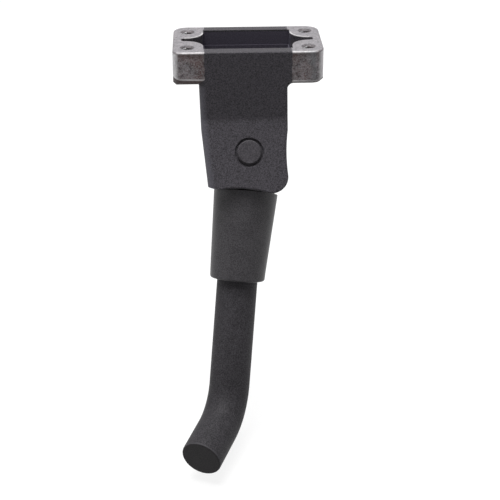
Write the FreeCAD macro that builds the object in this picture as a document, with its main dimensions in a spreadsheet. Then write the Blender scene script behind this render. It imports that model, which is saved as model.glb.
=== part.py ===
import FreeCAD, Part
import math
import os

import Sketcher

# Kickstand of an electric scooter: a cast bracket that bolts under the deck, and a sprung leg on a cross pin.
# Frame: origin at the centre of the bracket's seating face, +Z up, -Y outboard, X along the scooter.
# Millimetres and degrees.
sizes = {
    # bracket: the bolted flange
    "flange_length": 49.6,
    "flange_depth": 28.2,
    "flange_height": 11.0,
    "flange_corner": 4.6,
    "flange_top_edge": 0.45,
    "flange_bottom_edge": 0.9,
    "hole_inset_x": 4.8,
    "hole_inset_y": 5.6,
    "hole_tap": 3.3,
    "hole_chamfer": 0.7,
    # bracket: the open pocket in the seating face, with a slit between the bosses at each end
    "boss_reach": 6.0,
    "pocket_wall": 4.1,
    "pocket_ledge_depth": 5.2,
    "pocket_ledge": 0.3,
    "pocket_floor_depth": 8.2,
    "well_wall_left": 3.0,
    "well_wall_right": 2.6,
    "well_wall": 4.9,
    "well_depth": 18.5,
    "slit_inset": 2.6,
    "slit_width": 3.0,
    # bracket: the neck, straight down from the flange to the kink
    "neck_left": 16.4,
    "neck_right": 12.8,
    "kink_drop": 23.2,
    "neck_round": 2.6,
    "neck_edge": 0.6,
    "web_round_left": 1.0,
    "web_round_right": 2.2,
    "web_overlap": 0.5,
    # bracket: the clevis, tilted outboard below the kink; its outline is measured from the pivot
    "clevis_tilt_angle": 22.0,
    "pivot_drop": 10.9,
    "taper_top": 7.4,
    "cheek_left": 14.0,
    "cheek_left_drop": 11.0,
    "cheek_left_round": 11.0,
    "arch_left": 9.1,
    "arch_left_drop": 12.4,
    "arch_right": 6.9,
    "arch_right_drop": 14.05,
    "arch_radius": 37.6,
    "corner_radius": 5.6,
    "corner_top_drop": 8.2,
    "waist_radius": 60.0,
    "waist_top": 7.3,
    # cross pin and its clip
    "pin_diameter": 8.0,
    "pin_recess_diameter": 9.7,
    "pin_recess_depth": 0.9,
    "pin_proud": 0.35,
    "pin_chamfer": 0.35,
    "pin_tail": 2.2,
    "clip_thickness": 0.9,
    "clip_diameter": 12.0,
    "clip_groove": 0.7,
    "clip_gap": 4.0,
    # tie rod that hangs on the pin, with its nut and washer
    "leg_lean_angle": 5.7,
    "eye_diameter": 15.0,
    "eye_thickness": 8.6,
    "rod_diameter": 6.0,
    "washer_thickness": 1.2,
    "nut_across": 10.0,
    "nut_height": 4.0,
    "rod_tip": 0.8,
    # spring sleeve at the head of the leg; drops are measured from the pivot along the leg
    "sleeve_top_drop": 13.0,
    "sleeve_bottom_drop": 44.7,
    "sleeve_top_diameter": 22.6,
    "sleeve_bottom_diameter": 19.1,
    "sleeve_crown_radius": 37.0,
    "sleeve_end_wall": 5.0,
    "sleeve_lip": 0.8,
    # spring
    "spring_wire": 1.6,
    "spring_length": 11.6,
    "spring_turns": 3.5,
    # leg
    "leg_diameter": 14.2,
    "leg_top_drop": 36.6,
    "bend_drop": 81.7,
    "bend_radius": 18.4,
    "bend_angle": 58.6,
    "bend_turn_angle": 23.7,
    "foot_length": 14.1,
    "foot_edge": 0.7,
    # clearances
    "pin_clearance": 0.05,
    "rod_clearance": 0.25,
    "eye_side_clearance": 0.2,
    "eye_round_clearance": 0.6,
    "sleeve_side_clearance": 0.3,
    "sleeve_cam_clearance": 0.35,
    "spring_end_clearance": 0.05,
    "spring_side_clearance": 0.7,
    "washer_clearance": 0.5,
}

doc = FreeCAD.newDocument("kickstand")
sheet = doc.addObject("Spreadsheet::Sheet", "Sizes")
for row, (alias, number) in enumerate(sizes.items(), 1):
    sheet.set(f"A{row}", alias)
    sheet.set(f"B{row}", str(number))
    sheet.setAlias(f"B{row}", alias)
doc.recompute()


class Size:
    """A number together with the expression over the sheet's cells that gives it."""

    def __init__(self, value, text):
        self.value = value
        self.text = text

    def __add__(self, other):
        other = as_size(other)
        return Size(self.value + other.value, f"({self.text} + {other.text})")

    def __sub__(self, other):
        other = as_size(other)
        return Size(self.value - other.value, f"({self.text} - {other.text})")

    def __mul__(self, other):
        other = as_size(other)
        return Size(self.value * other.value, f"({self.text} * {other.text})")

    def __truediv__(self, other):
        other = as_size(other)
        return Size(self.value / other.value, f"({self.text} / {other.text})")

    def __neg__(self):
        return Size(-self.value, f"(-{self.text})")


def as_size(number):
    return number if isinstance(number, Size) else Size(float(number), str(number))


def cell(alias):
    return Size(float(sheet.get(alias)), f"Sizes.{alias}")


def sine(angle):
    return Size(math.sin(math.radians(angle.value)), f"sin({angle.text})")


def cosine(angle):
    return Size(math.cos(math.radians(angle.value)), f"cos({angle.text})")


def tangent(angle):
    return Size(math.tan(math.radians(angle.value)), f"tan({angle.text})")


def root(number):
    return Size(math.sqrt(number.value), f"sqrt({number.text})")


zero = as_size(0)
half_depth = cell("flange_depth") / 2
tilt = cell("clevis_tilt_angle")
lean = cell("leg_lean_angle")

# The pivot: down the tilted face from the kink, then in to the middle of the clevis.
pivot_y = half_depth * cosine(tilt) - half_depth - cell("pivot_drop") * sine(tilt)
pivot_z = -cell("kink_drop") - cell("pivot_drop") * cosine(tilt) - half_depth * sine(tilt)


def placement_text(x, y, z, *turns):
    base = f"vector({as_size(x).text}; {as_size(y).text}; {as_size(z).text})"
    rotation = " * ".join(f"rotation(vector({axis}); {as_size(angle).text})" for axis, angle in turns)
    return f"placement({base}; {rotation or 'rotation(vector(0; 0; 1); 0)'})"


about_x = "1; 0; 0"
about_y = "0; 1; 0"
about_z = "0; 0; 1"
clevis_frame = placement_text(0, pivot_y, pivot_z, (about_x, -tilt))
leg_frame = placement_text(0, pivot_y, pivot_z, (about_x, -tilt), (about_y, lean))
bend_frame = placement_text(
    0, pivot_y, pivot_z, (about_x, -tilt), (about_y, lean), (about_z, -cell("bend_turn_angle") - 90))


def new_body(name, frame=None):
    body = doc.addObject("PartDesign::Body", name)
    body.Label = name
    if frame:
        body.setExpression("Placement", frame)
    return body


def new_sketch(body, name, role, offset=None):
    sketch = body.newObject("Sketcher::SketchObject", name)
    plane = next(item for item in body.Origin.OriginFeatures if item.Role == role)
    sketch.AttachmentSupport = (plane, [""])
    sketch.MapMode = "FlatFace"
    if offset:
        sketch.setExpression("AttachmentOffset", offset)
    return sketch


def bind(sketch, kind, geometry, size, *point):
    number = sketch.addConstraint(Sketcher.Constraint(kind, geometry, *point, size.value))
    sketch.setExpression(f"Constraints[{number}]", size.text)


def hold(sketch, geometry, point, x, y):
    bind(sketch, "DistanceX", geometry, x, point)
    bind(sketch, "DistanceY", geometry, y, point)


def arc_between(start, end, radius, left):
    # the short arc from start to end that turns left or right
    middle = (start + end) / 2
    chord = end - start
    height = math.sqrt(max(radius ** 2 - (chord.Length / 2) ** 2, 0.0))
    across = FreeCAD.Vector(-chord.y, chord.x, 0).normalize()
    centre = middle + across * (height if left else -height)
    first, last = (start, end) if left else (end, start)
    angles = [math.atan2(point.y - centre.y, point.x - centre.x) for point in (first, last)]
    if angles[1] < angles[0]:
        angles[1] += 2 * math.pi
    return Part.ArcOfCircle(Part.Circle(centre, FreeCAD.Vector(0, 0, 1), radius), *angles)


def outline(sketch, corners, closed=True):
    # corners: (x, y), or (x, y, radius, "left" or "right") where an arc leads to the next corner
    corners = [(as_size(c[0]), as_size(c[1]), *c[2:]) for c in corners]
    points = [FreeCAD.Vector(c[0].value, c[1].value, 0) for c in corners]
    joins = []
    count = len(corners) if closed else len(corners) - 1
    for index in range(count):
        corner = corners[index]
        start, end = points[index], points[(index + 1) % len(points)]
        if len(corner) == 2:
            geometry = sketch.addGeometry(Part.LineSegment(start, end))
            joins.append((geometry, 1, 2))
        else:
            left = corner[3] == "left"
            geometry = sketch.addGeometry(arc_between(start, end, corner[2].value, left))
            bind(sketch, "Radius", geometry, corner[2])
            joins.append((geometry, 1, 2) if left else (geometry, 2, 1))
        hold(sketch, joins[-1][0], joins[-1][1], corner[0], corner[1])
    for index in range(count - (0 if closed else 1)):
        here, there = joins[index], joins[(index + 1) % count]
        sketch.addConstraint(Sketcher.Constraint("Coincident", here[0], here[2], there[0], there[1]))
    if not closed:
        hold(sketch, joins[-1][0], joins[-1][2], corners[-1][0], corners[-1][1])
    return sketch


def circle(sketch, x, y, diameter):
    x, y = as_size(x), as_size(y)
    centre = FreeCAD.Vector(x.value, y.value, 0)
    geometry = sketch.addGeometry(Part.Circle(centre, FreeCAD.Vector(0, 0, 1), diameter.value / 2))
    hold(sketch, geometry, 3, x, y)
    bind(sketch, "Diameter", geometry, diameter)
    return sketch


def feature(body, kind, name, profile, length=None, symmetric=False, reverse=False):
    item = body.newObject(f"PartDesign::{kind}", name)
    item.Profile = profile
    if length is None:
        item.Type = "ThroughAll"
    else:
        item.setExpression("Length", as_size(length).text)
    if symmetric:
        item.SideType = "Symmetric"
    item.Reversed = reverse
    doc.recompute()
    return item


def turned(body, kind, name, profile, axis):
    item = body.newObject(f"PartDesign::{kind}", name)
    item.Profile = profile
    item.ReferenceAxis = (profile, [axis])
    item.Angle = 360
    doc.recompute()
    return item


def edges_where(item, test):
    return [f"Edge{number}" for number, edge in enumerate(item.Shape.Edges, 1) if test(edge)]


def dress(body, kind, name, base, edges, size):
    item = body.newObject(f"PartDesign::{kind}", name)
    item.Base = (base, edges)
    item.setExpression("Radius" if kind == "Fillet" else "Size", size.text)
    doc.recompute()
    return item


def near(first, second):
    return abs(first - second) < 1e-4


def ends(edge):
    return [vertex.Point for vertex in edge.Vertexes]


def is_upright(edge):
    points = ends(edge)
    return len(points) == 2 and near(points[0].x, points[1].x) and near(points[0].y, points[1].y)


def is_level(edge, height):
    return all(near(point.z, height) for point in ends(edge))


def rectangle(x0, y0, x1, y1):
    return [(x0, y0), (x1, y0), (x1, y1), (x0, y1)]


# Bracket, one casting. First the neck and the clevis below the flange.
bracket_neck = new_body("bracket_neck")
half_length = cell("flange_length") / 2
depth = cell("flange_depth")

# Side profile of the neck: it ends on the slanted section where the clevis starts.
neck_sketch = outline(
    new_sketch(bracket_neck, "neck_sketch", "YZ_Plane", placement_text(0, 0, -cell("neck_left"))),
    [
        (-half_depth, -cell("flange_height") / 2),
        (-half_depth, -cell("kink_drop")),
        (depth * cosine(tilt) - half_depth, -cell("kink_drop") - depth * sine(tilt)),
        (half_depth, -cell("kink_drop") - depth * tangent(tilt / 2)),
        (half_depth, -cell("flange_height") / 2),
    ])
neck = feature(bracket_neck, "Pad", "neck", neck_sketch, cell("neck_left") + cell("neck_right"))

# Sketches of the clevis lie in its tilted middle plane, with the pivot as their origin.
clevis_plane = placement_text(0, pivot_z, -pivot_y, (about_x, -tilt))
clevis_sketch = outline(
    new_sketch(bracket_neck, "clevis_sketch", "XZ_Plane", clevis_plane),
    [
        (-cell("neck_left"), cell("pivot_drop")),
        (-cell("neck_left"), cell("taper_top")),
        (-cell("cheek_left"), -cell("cheek_left_drop"), cell("cheek_left_round"), "left"),
        (-cell("arch_left"), -cell("arch_left_drop"), cell("arch_radius"), "right"),
        (cell("arch_right"), -cell("arch_right_drop"), cell("corner_radius"), "left"),
        (cell("neck_right"), -cell("corner_top_drop"), cell("waist_radius"), "right"),
        (cell("neck_right"), cell("waist_top")),
        (cell("neck_right"), cell("pivot_drop")),
    ])
clevis = feature(bracket_neck, "Pad", "clevis", clevis_sketch, depth, symmetric=True)


def skin_of(point):
    # 1 on the outboard skin of the neck or clevis, -1 on the inboard one, 0 elsewhere
    normal = FreeCAD.Vector(0, -cosine(tilt).value, sine(tilt).value)
    inward = normal.dot(point - FreeCAD.Vector(0, pivot_y.value, pivot_z.value))
    for side in (1, -1):
        if near(point.y, -side * half_depth.value) or near(inward, side * half_depth.value):
            return side
    return 0


def on_one_skin(edge):
    skins = {skin_of(point) for point in ends(edge)}
    return len(skins) == 1 and 0 not in skins


def is_long_left(edge):
    points = ends(edge)
    straight = edge.Curve.TypeId == "Part::GeomLine" and len(points) == 2
    falls = straight and abs(points[0].z - points[1].z) > 1
    return falls and on_one_skin(edge) and all(p.x < -cell("arch_left").value for p in points)


left_edges = edges_where(clevis, is_long_left)
rounded = dress(bracket_neck, "Fillet", "left_round", clevis, left_edges, cell("neck_round"))


def is_outline(edge):
    return on_one_skin(edge) and all(p.x > -cell("arch_left").value - 0.01 for p in ends(edge))


outline_edges = edges_where(rounded, is_outline)
dress(bracket_neck, "Fillet", "outline_round", rounded, outline_edges, cell("neck_edge"))

# Rounded webs between the neck's sides and the underside of the flange's ears.
lap = cell("web_overlap")
web_top = -cell("flange_height")
web_length = depth - cell("neck_round") * 2
for name, side, web, away, turn in (
    ("web_right", cell("neck_right"), cell("web_round_right"), 1, "right"),
    ("web_left", -cell("neck_left"), cell("web_round_left"), -1, "left"),
):
    web_sketch = outline(
        new_sketch(bracket_neck, name + "_sketch", "XZ_Plane"),
        [
            (side - lap * away, web_top - web),
            (side, web_top - web, web, turn),
            (side + web * away, web_top),
            (side + web * away, web_top + lap),
            (side - lap * away, web_top + lap),
        ])
    feature(bracket_neck, "Pad", name, web_sketch, web_length, symmetric=True)

bracket = new_body("bracket")
flange_sketch = outline(
    new_sketch(bracket, "flange_sketch", "XY_Plane"),
    rectangle(-half_length, -half_depth, half_length, half_depth))
flange = feature(bracket, "Pad", "flange", flange_sketch, cell("flange_height"), reverse=True)
upright = edges_where(flange, is_upright)
flange = dress(bracket, "Fillet", "flange_corners", flange, upright, cell("flange_corner"))
underside = edges_where(flange, lambda edge: is_level(edge, -cell("flange_height").value))
flange = dress(bracket, "Chamfer", "flange_underside", flange, underside, cell("flange_bottom_edge"))
rim = edges_where(flange, lambda edge: is_level(edge, 0))
flange = dress(bracket, "Fillet", "flange_rim", flange, rim, cell("flange_top_edge"))
casting = bracket.newObject("PartDesign::Boolean", "casting")
casting.Type = "Fuse"
casting.Group = [bracket_neck]
doc.recompute()

# Pocket in the seating face: its ends curve round the bosses and run out in a round-ended slit between them.
# Below a narrow ledge it goes on plain, and a well leads down into the neck.
hole_x = half_length - cell("hole_inset_x")
hole_y = half_depth - cell("hole_inset_y")
boss = cell("boss_reach")
slit = cell("slit_width") / 2
slit_tip = half_length - cell("slit_inset")
slit_end = slit_tip - slit
boss_y = slit + boss
pocket_x = slit_end - boss
pocket_y = half_depth - cell("pocket_wall")
pocket_sketch = outline(
    new_sketch(bracket, "pocket_sketch", "XY_Plane"),
    [
        (-pocket_x, -pocket_y),
        (pocket_x, -pocket_y),
        (pocket_x, -boss_y, boss, "right"),
        (slit_end, -slit, slit, "left"),
        (slit_tip, zero, slit, "left"),
        (slit_end, slit, boss, "right"),
        (pocket_x, boss_y),
        (pocket_x, pocket_y),
        (-pocket_x, pocket_y),
        (-pocket_x, boss_y, boss, "right"),
        (-slit_end, slit, slit, "left"),
        (-slit_tip, zero, slit, "left"),
        (-slit_end, -slit, boss, "right"),
        (-pocket_x, -boss_y),
    ])
feature(bracket, "Pocket", "pocket", pocket_sketch, cell("pocket_ledge_depth"))
ledge = cell("pocket_ledge")
floor_sketch = outline(
    new_sketch(bracket, "floor_sketch", "XY_Plane"),
    rectangle(ledge - pocket_x, ledge - pocket_y, pocket_x - ledge, pocket_y - ledge))
feature(bracket, "Pocket", "pocket_floor", floor_sketch, cell("pocket_floor_depth"))
well_y = half_depth - cell("well_wall")
well_left = cell("well_wall_left") - cell("neck_left")
well_right = cell("neck_right") - cell("well_wall_right")
well_sketch = outline(
    new_sketch(bracket, "well_sketch", "XY_Plane"),
    rectangle(well_left, -well_y, well_right, well_y))
feature(bracket, "Pocket", "well", well_sketch, cell("well_depth"))

# Room for the sleeve's head between the two cheeks: outside the circle its crown sweeps as the leg folds.
far = cell("sleeve_bottom_drop")
cam = cell("sleeve_top_drop") - cell("sleeve_cam_clearance")
sweep_sketch = outline(
    new_sketch(bracket, "sweep_sketch", "XZ_Plane", clevis_plane),
    [
        (-cam * sine(lean), -cam * cosine(lean), cam, "left"),
        (cam, zero),
        (far, zero),
        (far, -far),
        (-cam * sine(lean), -far),
    ])
sweep_width = cell("sleeve_top_diameter") + cell("sleeve_side_clearance") * 2
feature(bracket, "Pocket", "sleeve_sweep", sweep_sketch, sweep_width, symmetric=True)

# Slot for the eye of the tie rod, open downward and toward the folded side.
eye_room = cell("eye_diameter") / 2 + cell("eye_round_clearance")
rod_room = cell("rod_diameter") / 2 + cell("eye_round_clearance")
slot_sketch = outline(
    new_sketch(bracket, "slot_sketch", "XZ_Plane", clevis_plane),
    [
        (-eye_room, -far),
        (-eye_room, zero, eye_room, "right"),
        (root(eye_room * eye_room - rod_room * rod_room), rod_room),
        (far, rod_room),
        (far, -far),
    ])
slot_width = cell("eye_thickness") + cell("eye_side_clearance") * 2
feature(bracket, "Pocket", "eye_slot", slot_sketch, slot_width, symmetric=True)

# Bore of the cross pin, with a shallow recess round its outboard end.
pin_radius = cell("pin_diameter") / 2
recess_radius = cell("pin_recess_diameter") / 2
bore_sketch = outline(
    new_sketch(bracket, "bore_sketch", "YZ_Plane", placement_text(pivot_y, pivot_z, 0, (about_z, -tilt))),
    [
        (-depth, zero),
        (depth, zero),
        (depth, pin_radius),
        (cell("pin_recess_depth") - half_depth, pin_radius),
        (cell("pin_recess_depth") - half_depth, recess_radius),
        (-depth, recess_radius),
    ])
turned(bracket, "Groove", "pin_bore", bore_sketch, "H_Axis")

tap_sketch = new_sketch(bracket, "tap_sketch", "XY_Plane")
for side_x in (hole_x, -hole_x):
    for side_y in (hole_y, -hole_y):
        circle(tap_sketch, side_x, side_y, cell("hole_tap"))
taps = feature(bracket, "Pocket", "taps", tap_sketch, cell("flange_height") + 1)


def is_tap_mouth(edge):
    round_one = edge.Curve.TypeId == "Part::GeomCircle" and is_level(edge, 0)
    return round_one and near(edge.Curve.Radius, cell("hole_tap").value / 2)


dress(bracket, "Chamfer", "tap_chamfers", taps, edges_where(taps, is_tap_mouth), cell("hole_chamfer"))

# Cross pin, turned about its own axis; the outboard end stands a little proud of the cheek.
pivot_pin = new_body("pivot_pin", clevis_frame)
neck_radius = pin_radius - cell("clip_groove")
tail_end = half_depth + cell("pin_tail")
pin_chamfer = cell("pin_chamfer")
pin_sketch = outline(
    new_sketch(pivot_pin, "pin_sketch", "XY_Plane"),
    [
        (zero, -half_depth - cell("pin_proud")),
        (pin_radius - pin_chamfer, -half_depth - cell("pin_proud")),
        (pin_radius, pin_chamfer - half_depth - cell("pin_proud")),
        (pin_radius, half_depth),
        (neck_radius, half_depth),
        (neck_radius, half_depth + cell("clip_thickness")),
        (pin_radius, half_depth + cell("clip_thickness")),
        (pin_radius, tail_end - pin_chamfer),
        (pin_radius - pin_chamfer, tail_end),
        (zero, tail_end),
    ])
turned(pivot_pin, "Revolution", "pin_turned", pin_sketch, "V_Axis")

# Snap clip in the pin's groove, against the inboard cheek.
pin_clip = new_body("pin_clip", clevis_frame)
clip_plane = placement_text(0, 0, -half_depth)
clip_sketch = new_sketch(pin_clip, "clip_sketch", "XZ_Plane", clip_plane)
circle(clip_sketch, 0, 0, cell("clip_diameter"))
circle(clip_sketch, 0, 0, neck_radius * 2)
feature(pin_clip, "Pad", "clip_ring", clip_sketch, cell("clip_thickness"), reverse=True)
gap = cell("clip_gap") / 2
gap_sketch = outline(
    new_sketch(pin_clip, "gap_sketch", "XZ_Plane", clip_plane),
    rectangle(-gap, -cell("clip_diameter"), gap, zero))
feature(pin_clip, "Pocket", "clip_mouth", gap_sketch, cell("clip_thickness"))

# Tie rod: an eye on the pin and a shank down through the sleeve. Drops below run along the leg.
spring_seat = cell("sleeve_top_drop") + cell("sleeve_end_wall")
washer_top = spring_seat + cell("spring_length") + cell("spring_end_clearance") * 2
nut_top = washer_top + cell("washer_thickness")
nut_bottom = nut_top + cell("nut_height")
tie_rod = new_body("tie_rod", leg_frame)
eye_sketch = circle(new_sketch(tie_rod, "eye_sketch", "XZ_Plane"), 0, 0, cell("eye_diameter"))
feature(tie_rod, "Pad", "eye", eye_sketch, cell("eye_thickness"), symmetric=True)
shank_sketch = circle(new_sketch(tie_rod, "shank_sketch", "XY_Plane"), 0, 0, cell("rod_diameter"))
feature(tie_rod, "Pad", "shank", shank_sketch, nut_bottom + cell("rod_tip"), reverse=True)
eye_bore = cell("pin_diameter") + cell("pin_clearance") * 2
eye_bore_sketch = circle(new_sketch(tie_rod, "eye_bore_sketch", "XZ_Plane"), 0, 0, eye_bore)
feature(tie_rod, "Pocket", "eye_bore", eye_bore_sketch, cell("eye_thickness") + 2, symmetric=True)

spring_washer = new_body("spring_washer", leg_frame)
washer_sketch = new_sketch(spring_washer, "washer_sketch", "XY_Plane", placement_text(0, 0, -washer_top))
circle(washer_sketch, 0, 0, cell("leg_diameter") - cell("washer_clearance") * 2)
circle(washer_sketch, 0, 0, cell("rod_diameter"))
feature(spring_washer, "Pad", "washer_ring", washer_sketch, cell("washer_thickness"), reverse=True)

lock_nut = new_body("lock_nut", leg_frame)
flat = cell("nut_across") / 2
corner = flat / cosine(as_size(30))
hexagon = [
    (corner, zero),
    (corner / 2, flat),
    (-corner / 2, flat),
    (-corner, zero),
    (-corner / 2, -flat),
    (corner / 2, -flat),
]
nut_sketch = outline(new_sketch(lock_nut, "nut_sketch", "XY_Plane", placement_text(0, 0, -nut_top)), hexagon)
circle(nut_sketch, 0, 0, cell("rod_diameter"))
feature(lock_nut, "Pad", "nut_block", nut_sketch, cell("nut_height"), reverse=True)

# Compression spring between the sleeve's end wall and the washer.
spring = new_body("spring", leg_frame)
wire_sketch = circle(
    new_sketch(spring, "wire_sketch", "XZ_Plane"),
    (cell("leg_diameter") - cell("spring_wire")) / 2 - cell("spring_side_clearance"),
    cell("spring_wire") / 2 + cell("spring_end_clearance") - washer_top,
    cell("spring_wire"))
coil = spring.newObject("PartDesign::AdditiveHelix", "coil")
coil.Profile = wire_sketch
coil.ReferenceAxis = (wire_sketch, ["V_Axis"])
coil.Mode = "height-turns-angle"
coil.setExpression("Height", (cell("spring_length") - cell("spring_wire")).text)
coil.setExpression("Turns", cell("spring_turns").text)
coil.Angle = 0
doc.recompute()

# Sleeve: a tapered shell with an end wall at the top, crowned to sit under the cheeks.
sleeve = new_body("sleeve", leg_frame)
top_drop = cell("sleeve_top_drop")
bottom_drop = cell("sleeve_bottom_drop")
sleeve_bore = cell("leg_diameter") / 2
rod_bore = cell("rod_diameter") / 2 + cell("rod_clearance")
sleeve_sketch = outline(
    new_sketch(sleeve, "sleeve_sketch", "XZ_Plane"),
    [
        (rod_bore, -top_drop),
        (rod_bore, -spring_seat),
        (sleeve_bore, -spring_seat),
        (sleeve_bore, -bottom_drop),
        (cell("sleeve_bottom_diameter") / 2, -bottom_drop),
        (cell("sleeve_top_diameter") / 2, -top_drop),
    ])
shell = turned(sleeve, "Revolution", "shell", sleeve_sketch, "V_Axis")


def is_outer_lip(edge):
    round_one = edge.Curve.TypeId == "Part::GeomCircle"
    return round_one and near(edge.Curve.Radius, cell("sleeve_bottom_diameter").value / 2)


dress(sleeve, "Fillet", "sleeve_lip", shell, edges_where(shell, is_outer_lip), cell("sleeve_lip"))
crown = cell("sleeve_crown_radius")
reach = cell("sleeve_top_diameter")
crown_drop = top_drop + crown - root(crown * crown - reach * reach)
crown_sketch = outline(
    new_sketch(sleeve, "crown_sketch", "XZ_Plane"),
    [
        (-reach, zero),
        (-reach, -crown_drop, crown, "right"),
        (zero, -top_drop, crown, "right"),
        (reach, -crown_drop),
        (reach, zero),
    ])
feature(sleeve, "Pocket", "crown", crown_sketch, reach * 2, symmetric=True)

# Leg: a round bar pressed into the sleeve, bent outboard to the foot.
leg = new_body("leg", bend_frame)
bend = cell("bend_radius")
bend_angle = cell("bend_angle")
bend_end_x = bend - bend * cosine(bend_angle)
bend_end_z = -cell("bend_drop") - bend * sine(bend_angle)
foot_x = bend_end_x + cell("foot_length") * sine(bend_angle)
foot_z = bend_end_z - cell("foot_length") * cosine(bend_angle)
path_sketch = outline(
    new_sketch(leg, "path_sketch", "XZ_Plane"),
    [
        (zero, -cell("leg_top_drop")),
        (zero, -cell("bend_drop"), bend, "left"),
        (bend_end_x, bend_end_z),
        (foot_x, foot_z),
    ], closed=False)
bar_sketch = circle(
    new_sketch(leg, "bar_sketch", "XY_Plane", placement_text(0, 0, -cell("leg_top_drop"))),
    0, 0, cell("leg_diameter"))
bar = leg.newObject("PartDesign::AdditivePipe", "bar")
bar.Profile = bar_sketch
bar.Spine = (path_sketch, ["Edge1", "Edge2", "Edge3"])
doc.recompute()


def is_foot_rim(edge):
    low = edge.BoundBox.Center.z < bend_end_z.value
    return edge.isClosed() and low


dress(leg, "Fillet", "foot_edge", bar, edges_where(bar, is_foot_rim), cell("foot_edge"))
doc.recompute()

nodes = [bracket, pivot_pin, pin_clip, tie_rod, spring_washer, lock_nut, spring, sleeve, leg]
for item in doc.Objects:
    if {"Invalid", "Error"} & set(item.State):
        raise RuntimeError(f"{item.Name} does not build: {item.State}")
for node in nodes:
    if node.Shape.isNull() or not node.Shape.isValid():
        raise RuntimeError(f"{node.Label} has no valid shape")

os.makedirs("parts", exist_ok=True)
for node in nodes:
    node.Shape.exportStep(f"parts/{node.Label}.step")
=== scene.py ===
import math

import bmesh
import bpy
from mathutils import Matrix, Vector


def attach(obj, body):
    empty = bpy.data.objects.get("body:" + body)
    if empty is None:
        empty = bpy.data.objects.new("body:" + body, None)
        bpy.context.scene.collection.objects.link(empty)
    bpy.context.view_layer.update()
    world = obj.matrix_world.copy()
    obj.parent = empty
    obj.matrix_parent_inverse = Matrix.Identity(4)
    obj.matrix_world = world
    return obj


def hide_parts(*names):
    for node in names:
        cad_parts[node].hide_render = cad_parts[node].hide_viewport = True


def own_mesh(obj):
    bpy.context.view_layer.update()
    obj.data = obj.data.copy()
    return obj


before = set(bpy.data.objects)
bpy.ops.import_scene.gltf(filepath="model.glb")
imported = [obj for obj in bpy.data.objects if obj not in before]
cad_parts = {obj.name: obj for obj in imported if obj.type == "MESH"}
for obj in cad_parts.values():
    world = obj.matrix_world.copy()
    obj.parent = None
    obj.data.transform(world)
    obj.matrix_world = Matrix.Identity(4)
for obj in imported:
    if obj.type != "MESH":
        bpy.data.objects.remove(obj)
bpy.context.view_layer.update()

scene = bpy.context.scene
scene.view_settings.view_transform = "Standard"
mm = 0.001
print("frame loaded:", ", ".join(sorted(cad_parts)))

# the cross pin's place, and the ways of the leg and of the tilted clevis
pivot = Vector((0.0, -5.110 * mm, -38.588 * mm))
legWay = Vector((-0.09932, -0.372755, -0.9226))
clevisUp = Vector((0.0, 0.374607, 0.927184))


# small helpers for node trees
def freshTree(name):
    material = bpy.data.materials.new(name)
    material.use_nodes = True
    tree = material.node_tree
    shader = tree.nodes["Principled BSDF"]
    place = tree.nodes.new("ShaderNodeTexCoord").outputs["Object"]
    return material, tree, shader, place


def plug(tree, socket, value):
    if hasattr(value, "is_linked"):
        tree.links.new(value, socket)
    else:
        socket.default_value = value


def grain(tree, place, scale, detail, roughness):
    node = tree.nodes.new("ShaderNodeTexNoise")
    plug(tree, node.inputs["Vector"], place)
    node.inputs["Scale"].default_value = scale
    node.inputs["Detail"].default_value = detail
    node.inputs["Roughness"].default_value = roughness
    return node.outputs["Fac"]


def spread(tree, value, span, result=(0.0, 1.0)):
    # maps a span of values to a span of results, level beyond its ends
    node = tree.nodes.new("ShaderNodeMapRange")
    plug(tree, node.inputs["Value"], value)
    for key, number in zip(("From Min", "From Max", "To Min", "To Max"), (*span, *result)):
        node.inputs[key].default_value = number
    return node.outputs["Result"]


def mottle(tree, place, noise, span, result=(0.0, 1.0)):
    return spread(tree, grain(tree, place, *noise), span, result)


def sums(tree, operation, first, second=0.0):
    node = tree.nodes.new("ShaderNodeMath")
    node.operation = operation
    plug(tree, node.inputs[0], first)
    plug(tree, node.inputs[1], second)
    return node.outputs[0]


def product(tree, first, *others):
    for other in others:
        first = sums(tree, "MULTIPLY", first, other)
    return first


def inverse(tree, value):
    return sums(tree, "SUBTRACT", 1.0, value)


def distance(tree, first, second):
    square = sums(tree, "ADD", product(tree, first, first), product(tree, second, second))
    return sums(tree, "SQRT", square)


def tint(tree, factor, first, second):
    node = tree.nodes.new("ShaderNodeMix")
    node.data_type = "RGBA"
    plug(tree, node.inputs["Factor"], factor)
    plug(tree, node.inputs["A"], first)
    plug(tree, node.inputs["B"], second)
    return node.outputs["Result"]


def relief(tree, shader, height, strength, depth):
    node = tree.nodes.new("ShaderNodeBump")
    node.inputs["Strength"].default_value = strength
    node.inputs["Distance"].default_value = depth
    plug(tree, node.inputs["Height"], height)
    plug(tree, shader.inputs["Normal"], node.outputs["Normal"])


def shade(red, green, blue):
    # a colour as it reads on screen, 0 to 255
    def linear(number):
        number = number / 255
        return number / 12.92 if number <= 0.04045 else ((number + 0.055) / 1.055) ** 2.4
    return (linear(red), linear(green), linear(blue), 1.0)


# small helpers for the pieces
def dressNode(name, material):
    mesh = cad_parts[name].data
    mesh.materials.clear()
    mesh.materials.append(material)


def shareOf(value, start, end):
    return min(max((value - start) / (end - start), 0.0), 1.0)


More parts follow.
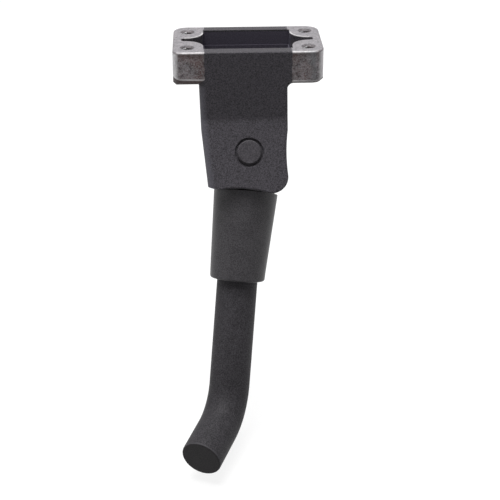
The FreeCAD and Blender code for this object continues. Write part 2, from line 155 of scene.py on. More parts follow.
def reshapeNode(node, body, name, material, move, look):
    # a merged copy of a node's mesh with its points moved, shown in place of the node
    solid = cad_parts[node].data
    spots, faces, normals = {}, [], []
    for face in solid.polygons:
        ring = []
        for loop in face.loop_indices:
            corner = solid.vertices[solid.loops[loop].vertex_index].co
            point, normal = move(corner, solid.corner_normals[loop].vector, look)
            key = tuple(round(number, 7) for number in point)  # points within 0.1 micron are one
            ring.append((spots.setdefault(key, len(spots)), normal))
        if len({spot for spot, normal in ring}) == 3:
            faces.append([spot for spot, normal in ring])
            normals.extend(normal for spot, normal in ring)
    mesh = bpy.data.meshes.new(name)
    mesh.from_pydata(list(spots), [], faces, shade_flat=False)
    mesh.normals_split_custom_set(normals)
    mesh.materials.append(material)
    piece = bpy.data.objects.new(name, mesh)
    scene.collection.objects.link(piece)
    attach(piece, body)
    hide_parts(node)


# bracket: black paint in the middle, bare cast metal on the two ears
# a grain is scale, detail and roughness; a zone is a span of places and the strengths at its two ends
bracketLook = {
    # main places of the casting
    "earEnd": 24.8 * mm,
    "front": -14.1 * mm,
    "flangeBottom": -11.0 * mm,
    "kink": -23.2 * mm,
    "holeX": 20.0 * mm,
    "holeY": 8.5 * mm,
    "bossX": 20.7 * mm,
    "bossY": 7.5 * mm,
    # front corners: the solid's radius, and the tighter ones at the top and the bottom
    "solidRadius": 4.6 * mm,
    "leftTop": 3.0 * mm,
    "leftLow": 1.3 * mm,
    "rightTop": 4.4 * mm,
    "rightLow": 4.0 * mm,
    "deepestInset": 1.0 * mm,
    "flankShare": 0.15,
    "cornerSlack": 0.01 * mm,
    # front end of the web under the right ear
    "webX": (12.5 * mm, 15.3 * mm),
    "webZ": (-13.4 * mm, -10.9 * mm),
    "webFrom": -11.5 * mm,
    "webTo": -13.1 * mm,
    "webSlack": 0.02 * mm,
    # sides and lower left toe, in heights above the pin along the tilted clevis
    "neckTop": 20.0 * mm,
    "sideKink": 10.9 * mm,
    "taperTop": 7.4 * mm,
    "taperEnd": -11.0 * mm,
    "leftFrom": -13.6 * mm,
    "leftShift": 0.45 * mm,
    "rightFrom": 8.0 * mm,
    "rightFull": 12.0 * mm,
    "rightShift": 0.25 * mm,
    "toeBelow": -9.0 * mm,
    "toeFrom": -10.2 * mm,
    "toeFull": -13.9 * mm,
    "toeDrop": 0.53 * mm,
    # border of the paint
    "paintLeft": ((-14.65 * mm, -14.4 * mm), (1.0, 0.0)),
    "paintRight": ((14.1 * mm, 14.35 * mm), (0.0, 1.0)),
    "paintFlare": ((-10.7 * mm, -9.1 * mm), (1.9 * mm, 0.0)),
    "paintWobble": ((420.0, 3.0, 0.55), (0.3, 0.7), (-0.3 * mm, 0.3 * mm)),
    "earBottom": ((-11.3 * mm, -11.1 * mm), (0.0, 1.0)),
    "slitTop": -0.25 * mm,
    "slitBottom": -9.0 * mm,
    "slitHalf": 10.2 * mm,
    "slitTip": 22.6 * mm,
    "slitPaint": ((17.0 * mm, 19.0 * mm), (1.0, 0.78)),
    "holeKeep": 2.65 * mm,
    # bare metal
    "bareDark": shade(56, 46, 45),
    "bareMiddle": shade(127, 117, 118),
    "bareLight": shade(192, 191, 196),
    "clouds": ((520.0, 4.0, 0.75), (0.4, 0.6)),
    "specks": ((2000.0, 3.0, 0.75), (0.38, 0.64)),
    "speckShare": 0.5,
    "onFront": ((-14.05 * mm, -13.5 * mm), (1.0, 0.0)),
    "rustWarm": shade(92, 63, 56),
    "bloom": ((160.0, 2.0, 0.55), (0.42, 0.66), (0.0, 0.8)),
    "topLight": shade(132, 131, 135),
    "onTop": ((-0.3 * mm, -0.1 * mm), (0.0, 0.55)),
    "pit": shade(56, 51, 52),
    "pits": ((1250.0, 2.0, 0.6), (0.55, 0.68), (0.0, 0.6)),
    "innerDark": ((14.1 * mm, 20.1 * mm), (0.3, 0.0)),
    "skinLow": ((-2.6 * mm, -0.9 * mm), (0.0, 0.5)),
    "skinHigh": ((-0.6 * mm, -0.45 * mm), (1.0, 0.0)),
    "coolGrey": shade(112, 118, 122),
    "coolEnd": ((18.5 * mm, 21.5 * mm), (0.0, 0.5)),
    "holeShadow": shade(58, 56, 58),
    "holeMouth": ((2.25 * mm, 2.6 * mm), (0.4, 0.0)),
    "mouthDepth": ((-1.2 * mm, -0.9 * mm), (0.0, 1.0)),
    # parting line with painted shade under it, and wear with painted highlights on the edges
    "lineHeight": -9.65 * mm,
    "lineTilt": -0.024,
    "lineBend": ((21.6 * mm, 24.8 * mm), (0.0, 1.0)),
    "lineRise": 1.2 * mm,
    "underEdge": shade(62, 50, 48),
    "underLine": ((-0.4 * mm, -0.15 * mm), (0.85, 0.0)),
    "wornBright": shade(204, 202, 203),
    "topRub": ((-0.7 * mm, -0.15 * mm), (0.0, 1.0)),
    "lineRub": ((0.12 * mm, 0.4 * mm), (0.9, 0.0)),
    "frontRub": ((-13.9 * mm, -13.0 * mm), (1.0, 0.0)),
    "rubPatches": ((0.0, 1.0), (0.5, 0.85)),
    "cornerBright": shade(236, 235, 237),
    "cornerX": ((22.8 * mm, 24.2 * mm), (0.0, 1.0)),
    "cornerY": ((9.5 * mm, 10.9 * mm), (0.0, 0.95)),
    "cornerTop": ((-0.7 * mm, -0.35 * mm), (1.0, 0.0)),
    "cornerPatches": ((0.0, 1.0), (0.75, 1.0)),
    "lipRing": ((5.35 * mm, 5.75 * mm), (0.0, 0.85)),
    "lipTop": ((-0.5 * mm, -0.2 * mm), (0.0, 1.0)),
    "lipReach": 0.3 * mm,
    # black paint
    "paintDark": shade(33, 31, 34),
    "paintLight": shade(88, 85, 91),
    "sand": (2500.0, 4.0, 0.75),
    "sandSpan": (0.38, 0.62),
    "overKink": ((0.0, 1.3 * mm), (0.26, 0.0)),
    "underKink": ((-1.5 * mm, 0.0), (0.0, -0.24)),
    "rimDull": ((-0.5 * mm, -0.1 * mm), (0.0, -0.22)),
    "pocketBlue": shade(84, 80, 96),
    "pocketShare": 0.45,
    "pocketX": 15.0 * mm,
    "pocketY": 10.3 * mm,
    "pocketTop": -0.6 * mm,
    "pocketBottom": -19.5 * mm,
    "sheen": shade(120, 119, 128),
    "sheenBand": ((0.2 * mm, 2.5 * mm), (0.55, 0.0)),
    "sheenFront": ((-12.5 * mm, -9.5 * mm), (1.0, 0.0)),
    "sheenTop": ((-12.2 * mm, -11.2 * mm), (1.0, 0.0)),
    "clevisEdge": ((-43.5 * mm, -25.5 * mm), (-14.0 * mm, -15.95 * mm)),
    "neckEdge": ((-25.5 * mm, -12.0 * mm), (0.0, -0.45 * mm)),
    # finish
    "metallic": 0.25,
    "roughness": ((0.0, 1.0), (0.5, 0.66)),
    "gloss": 0.22,
    "bump": (0.5, 0.16 * mm),
}


def castingPlaces(tree, place, look):
    split = tree.nodes.new("ShaderNodeSeparateXYZ")
    plug(tree, split.inputs[0], place)
    x, y, z = split.outputs
    acrossX, acrossY = sums(tree, "ABSOLUTE", x), sums(tree, "ABSOLUTE", y)
    holeX = sums(tree, "SUBTRACT", acrossX, look["holeX"])
    holeY = sums(tree, "SUBTRACT", acrossY, look["holeY"])
    fromHole = distance(tree, holeX, holeY)
    return {"x": x, "y": y, "z": z, "acrossX": acrossX, "acrossY": acrossY, "fromHole": fromHole}


def bareField(tree, place, at, look):
    # 1 on bare metal, 0 on paint
    shifted = sums(tree, "ADD", at["x"], mottle(tree, place, *look["paintWobble"]))
    flared = sums(tree, "ADD", shifted, spread(tree, at["z"], *look["paintFlare"]))
    leftEar, rightEar = spread(tree, flared, *look["paintLeft"]), spread(tree, shifted, *look["paintRight"])
    # the slits between the bosses are painted inside, the tapped holes are not; toward the slit tips bare
    # metal colour is mixed in as painted light
    inSlit = product(
        tree,
        sums(tree, "LESS_THAN", at["z"], look["slitTop"]),
        sums(tree, "GREATER_THAN", at["z"], look["slitBottom"]),
        sums(tree, "LESS_THAN", at["acrossY"], look["slitHalf"]),
        sums(tree, "LESS_THAN", at["acrossX"], look["slitTip"]),
        sums(tree, "GREATER_THAN", at["fromHole"], look["holeKeep"]),
        spread(tree, at["acrossX"], *look["slitPaint"]))
    ears = product(tree, sums(tree, "MAXIMUM", leftEar, rightEar), spread(tree, at["z"], *look["earBottom"]))
    return product(tree, ears, inverse(tree, inSlit))


def castMetal(tree, place, at, clouds, specks, onFront, look):
    # broad clouds, a warm bloom on the front, fine bright specks, a paler top and dark pits
    colour = tint(tree, clouds, look["bareDark"], look["bareMiddle"])
    bloom = product(tree, mottle(tree, place, *look["bloom"]), onFront)
    colour = tint(tree, bloom, colour, look["rustWarm"])
    colour = tint(tree, product(tree, specks, look["speckShare"]), colour, look["bareLight"])
    colour = tint(tree, spread(tree, at["z"], *look["onTop"]), colour, look["topLight"])
    colour = tint(tree, mottle(tree, place, *look["pits"]), colour, look["pit"])
    # the front is darker toward the paint, and darkest in a band just under the top edge
    innerDark = product(tree, spread(tree, at["acrossX"], *look["innerDark"]), onFront)
    colour = tint(tree, innerDark, colour, look["bareDark"])
    topEdgeBand = product(tree, spread(tree, at["z"], *look["skinLow"]), spread(tree, at["z"], *look["skinHigh"]))
    return tint(tree, topEdgeBand, colour, look["bareDark"])


def metalWearAndPaintedLight(tree, at, clouds, onFront, colour, look):
    # the mould's parting line runs a little askew near the bottom of the ears and rises at the corners;
    # under it painted shade stands in for the shaded bottom chamfer
    line = sums(tree, "ADD", product(tree, at["x"], look["lineTilt"]), look["lineHeight"])
    bend = spread(tree, at["acrossX"], *look["lineBend"])
    line = sums(tree, "ADD", line, product(tree, bend, bend, look["lineRise"]))
    overLine = sums(tree, "SUBTRACT", at["z"], line)
    underLine = spread(tree, overLine, *look["underLine"])
    colour = tint(tree, underLine, colour, look["underEdge"])
    # wear and a painted highlight along the line and the top edge, and a painted highlight on the rounded
    # upright corners
    atTop = spread(tree, at["z"], *look["topRub"])
    atLine = spread(tree, sums(tree, "ABSOLUTE", overLine), *look["lineRub"])
    wearHighlight = product(
        tree,
        sums(tree, "MAXIMUM", atTop, atLine),
        spread(tree, at["y"], *look["frontRub"]),
        spread(tree, clouds, *look["rubPatches"]))
    colour = tint(tree, wearHighlight, colour, look["wornBright"])
    # painted highlight on the rounded upright front corners
    corner = product(
        tree,
        spread(tree, at["acrossX"], *look["cornerX"]),
        spread(tree, at["acrossY"], *look["cornerY"]),
        inverse(tree, underLine),
        spread(tree, at["z"], *look["cornerTop"]),
        spread(tree, clouds, *look["cornerPatches"]))
    colour = tint(tree, corner, colour, look["cornerBright"])
    # the right ear turns cooler toward its end, and painted shade darkens the holes' mouths
    cool = product(tree, spread(tree, at["x"], *look["coolEnd"]), onFront)
    colour = tint(tree, cool, colour, look["coolGrey"])
    mouthShade = spread(tree, at["fromHole"], *look["holeMouth"])
    mouthShade = product(tree, mouthShade, spread(tree, at["z"], *look["mouthDepth"]))
    colour = tint(tree, mouthShade, colour, look["holeShadow"])
    # a painted highlight runs along the back bosses' edge at the pocket
    lipX = sums(tree, "SUBTRACT", at["acrossX"], look["bossX"])
    lipY = sums(tree, "SUBTRACT", at["acrossY"], look["bossY"])
    lipHighlight = product(
        tree,
        spread(tree, distance(tree, lipX, lipY), *look["lipRing"]),
        spread(tree, at["z"], *look["lipTop"]),
        sums(tree, "GREATER_THAN", at["y"], 0.0),
        sums(tree, "LESS_THAN", lipX, look["lipReach"]),
        sums(tree, "LESS_THAN", lipY, 0.0))
    return tint(tree, lipHighlight, colour, look["wornBright"])


def blackPaint(tree, at, sand, look):
    # painted light just above the kink and painted shade just below soften the step in shade there
    fromKink = sums(tree, "SUBTRACT", at["z"], look["kink"])
    isBelow = sums(tree, "LESS_THAN", fromKink, 0.0)
    over = product(tree, spread(tree, fromKink, *look["overKink"]), inverse(tree, isBelow))
    under = product(tree, spread(tree, fromKink, *look["underKink"]), isBelow)
    # painted shade: the rim round the pocket, a top face, is made darker
    tone = spread(tree, sand, look["sandSpan"])
    for change in (over, under, spread(tree, at["z"], *look["rimDull"])):
        tone = sums(tree, "ADD", tone, change)
    colour = tint(tree, tone, look["paintDark"], look["paintLight"])
    # painted light: the inside of the pocket is lifted lighter, with a bluish cast
    pocketLight = product(
        tree,
        sums(tree, "LESS_THAN", at["acrossX"], look["pocketX"]),
        sums(tree, "LESS_THAN", at["acrossY"], look["pocketY"]),
        sums(tree, "LESS_THAN", at["z"], look["pocketTop"]),
        sums(tree, "GREATER_THAN", at["z"], look["pocketBottom"]),
        look["pocketShare"])
    colour = tint(tree, pocketLight, colour, look["pocketBlue"])
    # a painted highlight, a lighter band, follows the rounded left edge of the neck and clevis
    clevisEdge = spread(tree, at["z"], *look["clevisEdge"])
    neckEdge = spread(tree, at["z"], *look["neckEdge"])
    fromEdge = sums(tree, "SUBTRACT", at["x"], sums(tree, "ADD", clevisEdge, neckEdge))
    sheen = product(
        tree,
        spread(tree, fromEdge, *look["sheenBand"]),
        spread(tree, at["y"], *look["sheenFront"]),
        spread(tree, at["z"], *look["sheenTop"]))
    return tint(tree, sheen, colour, look["sheen"])


def castingMaterial(look):
    material, tree, shader, place = freshTree("castBlack")
    at = castingPlaces(tree, place, look)
    bare = bareField(tree, place, at, look)
    clouds, specks = mottle(tree, place, *look["clouds"]), mottle(tree, place, *look["specks"])
    onFront = spread(tree, at["y"], *look["onFront"])
    metal = castMetal(tree, place, at, clouds, specks, onFront, look)
    metal = metalWearAndPaintedLight(tree, at, clouds, onFront, metal, look)
    sand = grain(tree, place, *look["sand"])
    paint = blackPaint(tree, at, sand, look)
    plug(tree, shader.inputs["Base Color"], tint(tree, bare, paint, metal))
    plug(tree, shader.inputs["Metallic"], product(tree, bare, look["metallic"]))
    plug(tree, shader.inputs["Roughness"], spread(tree, specks, *look["roughness"]))
    shader.inputs["Specular IOR Level"].default_value = look["gloss"]
    relief(tree, shader, sand, *look["bump"])
    return material


def bringForward(point, look):
    # the rounded web under the right ear comes further forward than the solid's
    acrossWeb = look["webX"][0] < point.x < look["webX"][1] and look["webZ"][0] < point.z < look["webZ"][1]
    atEnd = abs(point.y - look["webFrom"]) < look["webSlack"]
    return Vector((point.x, look["webTo"], point.z)) if acrossWeb and atEnd else point


def trimSides(point, look):
    # the neck tapers in a little on the left and stands further out on the right
    height = (point - pivot).dot(clevisUp)
    if height < look["toeBelow"] and point.x < look["toeFrom"]:
        point = point - clevisUp * look["toeDrop"] * shareOf(point.x, look["toeFrom"], look["toeFull"])
    if point.x < look["leftFrom"]:
        fromTop = shareOf(height, look["neckTop"], look["taperTop"])
        fromEnd = shareOf(height, look["taperEnd"], look["taperTop"])
        return point + Vector((look["leftShift"] * min(fromTop, fromEnd), 0.0, 0.0))
    share = shareOf(height, look["neckTop"], look["sideKink"])
    share *= shareOf(point.x, look["rightFrom"], look["rightFull"])
    return point + Vector((look["rightShift"] * share, 0.0, 0.0))


def tightenCorner(point, normal, look):
    # moves a point of a front corner out to the tighter outline, and turns its normal to suit
    wide = look["solidRadius"]
    middleX, middleY = look["earEnd"] - wide, -look["front"] - wide
    along, out = abs(point.x) - middleX, -point.y - middleY
    inset = wide - math.hypot(along, out)
    onFlange = point.z >= look["flangeBottom"] - look["cornerSlack"]
    if min(along, out) < 0 or inset > look["deepestInset"] or not onFlange:
        return point, normal
    side, hand = (1.0, "right") if point.x > 0 else (-1.0, "left")
    top, low = look[hand + "Top"], look[hand + "Low"]
    radius = top + (low - top) * point.z / look["flangeBottom"]
    # the ends of the old arc become the flats, and its middle the new arc
    flat, flank = wide - radius, look["flankShare"]
    share = math.atan2(out, along) / (math.pi / 2)
    turn = min(max((share - flank) / (1 - 2 * flank), 0.0), 1.0) * math.pi / 2
    way = Vector((math.cos(turn), math.sin(turn)))
    centre = Vector((flat * min((1 - share) / flank, 1.0), flat * min(share / flank, 1.0)))
    spot = centre + way * (radius - inset)
    level = math.hypot(normal.x, normal.y)
    moved = Vector((side * (middleX + spot.x), -middleY - spot.y, point.z))
    return moved, Vector((side * way.x * level, -way.y * level, normal.z))


def shapeBracket(point, normal, look):
    return tightenCorner(trimSides(bringForward(point, look), look), normal, look)


casting = castingMaterial(bracketLook)
reshapeNode("bracket", "bracket", "castBracket", casting, shapeBracket, bracketLook)
print("bracket dressed")

# sleeve: smooth satin grey, leaning to the right a little towards the top
sleeveLook = {
    "dark": shade(45, 43, 46),
    "light": shade(78, 76, 79),
    "fine": (2800.0, 3.0, 0.7),
    "drift": (240.0, 2.0, 0.55),
    "driftShare": 0.15,
    "toneSpan": (0.41, 0.59),
    "roughness": ((0.3, 0.7), (0.38, 0.48)),
    "gloss": 0.25,
    "bump": (0.15, 0.08 * mm),
    # drops along the leg, and how far each side moves right and each end of the crown rises
    "bore": 7.5 * mm,
    "crown": 15.2 * mm,
    "leanTop": 15.0 * mm,
    "leanEnd": 41.0 * mm,
    "leftShift": 0.58 * mm,
    "rightShift": 0.36 * mm,
    "leftLift": 0.75 * mm,
    "rightLift": 0.5 * mm,
}


def coatTone(tree, place, look):
    # the coat's fine grain, and its tone with a broad drift mixed in
    fine = grain(tree, place, *look["fine"])
    drift = product(tree, grain(tree, place, *look["drift"]), look["driftShare"])
    both = sums(tree, "ADD", product(tree, fine, 1.0 - look["driftShare"]), drift)
    return fine, spread(tree, both, look["toneSpan"])


def finishCoat(tree, shader, colour, fine, look):
    plug(tree, shader.inputs["Base Color"], colour)
    plug(tree, shader.inputs["Roughness"], spread(tree, fine, *look["roughness"]))
    shader.inputs["Specular IOR Level"].default_value = look["gloss"]
    relief(tree, shader, fine, *look["bump"])


def sleeveMaterial(look):
    material, tree, shader, place = freshTree("sleeveGrey")
    fine, tone = coatTone(tree, place, look)
    finishCoat(tree, shader, tint(tree, tone, look["dark"], look["light"]), fine, look)
    return material


def shapeSleeve(point, normal, look):
    down = legWay.normalized()
    arm = point - pivot
    drop = arm.dot(down)
    out = arm - down * drop
    if out.length < look["bore"]:
        return point, normal
    hand = "right" if out.x > 0 else "left"
    sideways = abs(out.x) / out.length
    lift = look[hand + "Lift"] * sideways ** 2 if drop < look["crown"] else 0.0
    lean = look[hand + "Shift"] * sideways * shareOf(drop, look["leanEnd"], look["leanTop"])
    return point + Vector((lean, 0.0, 0.0)) - down * lift, normal


satin = sleeveMaterial(sleeveLook)
reshapeNode("sleeve", "leg", "leaningSleeve", satin, shapeSleeve, sleeveLook)

# leg: fine sandy black powder coat, with the bend and foot set a little to the right
legLook = {
    "dark": shade(29, 27, 30),
    "light": shade(74, 72, 76),
    "fine": (2300.0, 4.0, 0.75),
    "drift": (300.0, 2.0, 0.55),
    "driftShare": 0.12,
    "toneSpan": (0.39, 0.61),
    "footDull": ((-118.0 * mm, -98.0 * mm), (-0.24, 0.0)),
    "footEnd": (-17.95 * mm, -61.5 * mm, -127.4 * mm),
    "footWay": (-0.393, -0.906, -0.157),
    "cutEnd": shade(24, 22, 22),
    "cutZone": ((-0.14 * mm, -0.06 * mm), (0.0, 0.6)),
    "rimLight": shade(84, 82, 86),
    "rimBack": 0.25 * mm,
    "rimZone": ((0.1 * mm, 0.3 * mm), (0.55, 0.0)),
    "roughness": ((0.3, 0.7), (0.54, 0.7)),
    "gloss": 0.2,
    "bump": (0.5, 0.16 * mm),
    # drops along the leg, and how far it moves right there
    "legFrom": 39.0 * mm,
    "legFull": 44.0 * mm,
    "legShift": 0.35 * mm,
    "footFrom": 80.0 * mm,
    "footFull": 94.0 * mm,
    "footShift": 0.2 * mm,
}


def legMaterial(look):
    material, tree, shader, place = freshTree("legSandy")
    sand, tone = coatTone(tree, place, look)
    split = tree.nodes.new("ShaderNodeSeparateXYZ")
    plug(tree, split.inputs[0], place)
    # painted shade: the foot is darker towards its low end
    tone = sums(tree, "ADD", tone, spread(tree, split.outputs["Z"], *look["footDull"]))
    colour = tint(tree, tone, look["dark"], look["light"])
    # painted shade darkens the cut end of the foot, and a painted highlight makes a thin light rim at its
    # edge
    along = tree.nodes.new("ShaderNodeVectorMath")
    along.operation = "DOT_PRODUCT"
    plug(tree, along.inputs[0], place)
    along.inputs[1].default_value = look["footWay"]
    end = Vector(look["footEnd"]).dot(Vector(look["footWay"]))
    past = sums(tree, "SUBTRACT", along.outputs["Value"], end)
    colour = tint(tree, spread(tree, past, *look["cutZone"]), colour, look["cutEnd"])
    fromRim = sums(tree, "ABSOLUTE", sums(tree, "ADD", past, look["rimBack"]))
    colour = tint(tree, spread(tree, fromRim, *look["rimZone"]), colour, look["rimLight"])
    finishCoat(tree, shader, colour, sand, look)
    return material


def shapeLeg(point, normal, look):
    drop = (point - pivot).dot(legWay)
    shift = look["legShift"] * shareOf(drop, look["legFrom"], look["legFull"])
    shift += look["footShift"] * shareOf(drop, look["footFrom"], look["footFull"])
    return point + Vector((shift, 0.0, 0.0)), normal


reshapeNode("leg", "leg", "sandyLeg", legMaterial(legLook), shapeLeg, legLook)
print("sleeve and leg dressed")

# finishes of the pin, clip, tie rod, washer, nut, threads and spring
steelLook = {
    "dark": shade(128, 128, 130),
    "light": shade(176, 176, 178),
    "roughness": (0.29, 0.42),
    "metallic": 1.0,
    "gloss": 0.5,
}
wireLook = {
    "dark": shade(92, 92, 96),
    "light": shade(124, 124, 128),
    "roughness": (0.25, 0.38),
    "metallic": 1.0,
    "gloss": 0.5,
}
oiledLook = {
    "dark": shade(40, 39, 40),
    "light": shade(66, 64, 65),
    "roughness": (0.4, 0.53),
    "metallic": 0.6,
    "gloss": 0.3,
}
pinLook = {
    "dark": shade(42, 40, 43),
    "light": shade(90, 87, 92),
    "roughness": (0.51, 0.64),
    "metallic": 0.0,
    "gloss": 0.22,
}
metalGrain = {"drift": ((2300.0, 4.0, 0.7), (0.36, 0.64)), "bump": (0.25, 0.08 * mm)}


def metalMaterial(name, look):
    material, tree, shader, place = freshTree(name)
    drift = mottle(tree, place, *metalGrain["drift"])
    plug(tree, shader.inputs["Base Color"], tint(tree, drift, look["dark"], look["light"]))
    plug(tree, shader.inputs["Roughness"], spread(tree, drift, (0.0, 1.0), look["roughness"]))
    shader.inputs["Metallic"].default_value = look["metallic"]
    shader.inputs["Specular IOR Level"].default_value = look["gloss"]
    relief(tree, shader, drift, *metalGrain["bump"])
    return material


brightSteel = metalMaterial("brightSteel", steelLook)
for name in ("pin_clip", "spring_washer", "lock_nut"):
    dressNode(name, brightSteel)
dressNode("tie_rod", metalMaterial("oiledSteel", oiledLook))
dressNode("pivot_pin", metalMaterial("pinBlack", pinLook))
print("small metal pieces dressed")


# spiral pieces: the threads in the four tapped holes, and the spring inside the sleeve
def spiralSweep(tree, turns, radius, height, wire, around, sides):
    spiral = tree.nodes.new("GeometryNodeCurveSpiral")
    spiral.inputs["Resolution"].default_value = around
    plug(tree, spiral.inputs["Rotations"], turns)
    plug(tree, spiral.inputs["Start Radius"], radius)
    plug(tree, spiral.inputs["End Radius"], radius)
    plug(tree, spiral.inputs["Height"], height)
    profile = tree.nodes.new("GeometryNodeCurvePrimitiveCircle")
    profile.inputs["Resolution"].default_value = sides
    plug(tree, profile.inputs["Radius"], wire)
    sweep = tree.nodes.new("GeometryNodeCurveToMesh")
    plug(tree, sweep.inputs["Curve"], spiral.outputs["Curve"])
    plug(tree, sweep.inputs["Profile Curve"], profile.outputs["Curve"])
    sweep.inputs["Fill Caps"].default_value = True
    return sweep.outputs["Mesh"]


def startTree(name, look):
    tree = bpy.data.node_groups.new(name, "GeometryNodeTree")
    keys = {}
    kinds = {**dict.fromkeys(look, "NodeSocketFloat"), "Metal": "NodeSocketMaterial"}
    for label, kind in kinds.items():
        keys[label] = tree.interface.new_socket(label, in_out="INPUT", socket_type=kind).identifier
    tree.interface.new_socket("Geometry", in_out="OUTPUT", socket_type="NodeSocketGeometry")
    return tree, keys, tree.nodes.new("NodeGroupInput").outputs


def finishTree(tree, keys, look, geometry, given, metal):
    # realize and coat the shape, then keep it as a plain mesh
    real = tree.nodes.new("GeometryNodeRealizeInstances")
    plug(tree, real.inputs["Geometry"], geometry)
    coat = tree.nodes.new("GeometryNodeSetMaterial")
    plug(tree, coat.inputs["Geometry"], real.outputs["Geometry"])
    plug(tree, coat.inputs["Material"], given["Metal"])
    plug(tree, tree.nodes.new("NodeGroupOutput").inputs["Geometry"], coat.outputs["Geometry"])
    maker = bpy.data.objects.new(tree.name + "Maker", bpy.data.meshes.new(tree.name + "Maker"))
    scene.collection.objects.link(maker)
    nodes = maker.modifiers.new("shape", "NODES")
    nodes.node_group = tree
    for label, number in look.items():
        nodes[keys[label]] = number
    nodes[keys["Metal"]] = metal
    ready = maker.evaluated_get(bpy.context.evaluated_depsgraph_get())
    mesh = bpy.data.meshes.new_from_object(ready)
    bpy.data.objects.remove(maker)
    piece = bpy.data.objects.new(tree.name, mesh)
    scene.collection.objects.link(piece)
    return piece


threadLook = {
    "Spacing X": 40.0 * mm,
    "Spacing Y": 17.0 * mm,
    "Radius": 1.66 * mm,
    "Pitch": 0.7 * mm,
    "Depth": 9.6 * mm,
    "Ridge": 0.3 * mm,
    "Top": -0.8 * mm,
}


def buildThreads(look, metal):
    tree, keys, given = startTree("tappedThreads", look)
    turns = sums(tree, "DIVIDE", given["Depth"], given["Pitch"])
    ridge = spiralSweep(tree, turns, given["Radius"], given["Depth"], given["Ridge"], around=28, sides=4)
    drop = tree.nodes.new("ShaderNodeCombineXYZ")
    plug(tree, drop.inputs["Z"], sums(tree, "SUBTRACT", given["Top"], given["Depth"]))
    lowered = tree.nodes.new("GeometryNodeTransform")
    plug(tree, lowered.inputs["Geometry"], ridge)
    plug(tree, lowered.inputs["Translation"], drop.outputs["Vector"])
    holes = tree.nodes.new("GeometryNodeMeshGrid")
    plug(tree, holes.inputs["Size X"], given["Spacing X"])
    plug(tree, holes.inputs["Size Y"], given["Spacing Y"])
    holes.inputs["Vertices X"].default_value = 2
    holes.inputs["Vertices Y"].default_value = 2
    copies = tree.nodes.new("GeometryNodeInstanceOnPoints")
    plug(tree, copies.inputs["Points"], holes.outputs["Mesh"])
    plug(tree, copies.inputs["Instance"], lowered.outputs["Geometry"])
    threads = finishTree(tree, keys, look, copies.outputs["Instances"], given, metal)
    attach(threads, "bracket")


buildThreads(threadLook, metalMaterial("threadSteel", steelLook))
print("threads cut")

# the spring, wound inside the sleeve and carried with the leg
springLook = {
    "Turns": 3.5,
    "Radius": 5.6 * mm,
    "Height": 10.0 * mm,
    "Wire": 0.8 * mm,
}
springSeat = {"top": 18.05 * mm, "length": 11.6 * mm, "pull": 4.0 * mm}


def buildSpring(look, seat, metal):
    tree, keys, given = startTree("coilSpring", look)
    coil = spiralSweep(
        tree, given["Turns"], given["Radius"], given["Height"], given["Wire"], around=40, sides=12)
    lowest = pivot + legWay * (seat["top"] + seat["length"] - look["Wire"])
    placed = tree.nodes.new("GeometryNodeTransform")
    plug(tree, placed.inputs["Geometry"], coil)
    placed.inputs["Translation"].default_value = lowest
    placed.inputs["Rotation"].default_value = Vector((0.0, 0.0, 1.0)).rotation_difference(-legWay).to_euler()
    spring = finishTree(tree, keys, look, placed.outputs["Geometry"], given, metal)
    spring.data.shade_smooth()
    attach(spring, "leg")
    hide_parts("spring")
    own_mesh(spring)


buildSpring(springLook, springSeat, metalMaterial("springWire", wireLook))
print("spring wound")

# floor, light and camera; a lamp is its place, size and power
studio = {
    "floorDrop": 138.6 * mm,
    "floorSpan": 4.0,
    "floorColour": 0.22,
    "floorRoughness": 0.9,
    "floorGlow": 0.86,
    "lamps": {
        "overhead": ((-0.06, -0.07, 0.58), 0.45, 6.4),
        "side": ((-0.55, -0.12, 0.1), 0.3, 0.25),
        "right": ((0.55, -0.1, 0.02), 0.3, 0.16),
        "back": ((0.12, 0.62, 0.06), 0.5, 1.8),
    },
    "lampAim": (0.0, -0.02, -0.05),
    "worldLevel": 0.055,
    "white": (1.0, 1.0, 1.0, 1.0),
    "lens": 82.48,
    "sensor": 36.0,
    "nearest": 10.0 * mm,
    "eye": (-13.48 * mm, -371.70 * mm, 117.67 * mm),
    "right": (0.9992, -0.0392, -0.0010),
    "up": (0.0193, 0.4690, 0.8830),
    "ahead": (0.0341, 0.8823, -0.4694),
}


def isSeen(tree):
    # 1 for rays from the camera, from gloss and through glass
    path = tree.nodes.new("ShaderNodeLightPath").outputs
    gloss = sums(tree, "MAXIMUM", path["Is Glossy Ray"], path["Is Transmission Ray"])
    return sums(tree, "MAXIMUM", path["Is Camera Ray"], gloss)


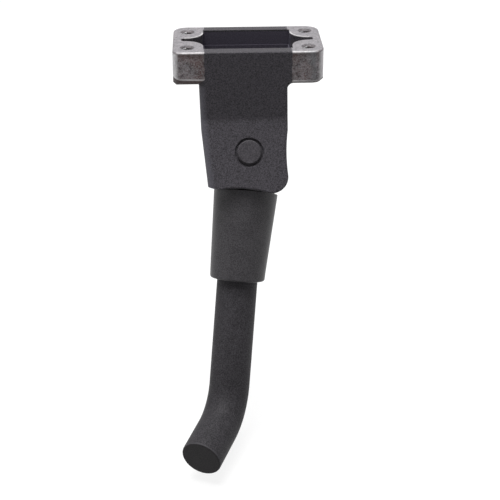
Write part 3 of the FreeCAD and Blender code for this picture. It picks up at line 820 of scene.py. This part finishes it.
def buildFloor(look):
    mesh = bpy.data.meshes.new("floor")
    half, level = look["floorSpan"] / 2, -look["floorDrop"]
    form = bmesh.new()
    corners = ((-half, -half), (half, -half), (half, half), (-half, half))
    form.faces.new([form.verts.new((*corner, level)) for corner in corners])
    form.to_mesh(mesh)
    form.free()
    floor = bpy.data.objects.new("floor", mesh)
    scene.collection.objects.link(floor)
    material, tree, shader = freshTree("paleFloor")[:3]
    shader.inputs["Base Color"].default_value = (look["floorColour"],) * 3 + (1.0,)
    shader.inputs["Roughness"].default_value = look["floorRoughness"]
    shader.inputs["Specular IOR Level"].default_value = 0.0
    shader.inputs["Emission Color"].default_value = look["white"]
    plug(tree, shader.inputs["Emission Strength"], product(tree, isSeen(tree), look["floorGlow"]))
    mesh.materials.append(material)


def buildLight(look):
    for name, (place, size, power) in look["lamps"].items():
        lamp = bpy.data.lights.new(name, "AREA")
        lamp.shape = "SQUARE"
        lamp.size = size
        lamp.energy = power
        holder = bpy.data.objects.new(name, lamp)
        holder.location = place
        aim = Vector(look["lampAim"]) - Vector(place)
        holder.rotation_euler = aim.to_track_quat("-Z", "Y").to_euler()
        holder.visible_glossy = name != "back"  # no glare across the seating face
        scene.collection.objects.link(holder)
    world = bpy.data.worlds.new("studio")
    scene.world = world
    world.use_nodes = True
    tree = world.node_tree
    glow = tree.nodes["Background"]
    glow.inputs["Color"].default_value = look["white"]
    plug(tree, glow.inputs["Strength"], spread(tree, isSeen(tree), (0.0, 1.0), (look["worldLevel"], 1.0)))


def buildCamera(look):
    camera = bpy.data.cameras.new("camera")
    camera.lens = look["lens"]
    camera.sensor_width = look["sensor"]
    camera.clip_start = look["nearest"]
    holder = bpy.data.objects.new("camera", camera)
    right, up = Vector(look["right"]), Vector(look["up"])
    back = -Vector(look["ahead"])
    turn = Matrix((right, up, back)).transposed()
    holder.matrix_world = Matrix.Translation(Vector(look["eye"])) @ turn.to_4x4()
    scene.collection.objects.link(holder)
    scene.camera = holder


buildFloor(studio)
buildLight(studio)
buildCamera(studio)
print("studio built")
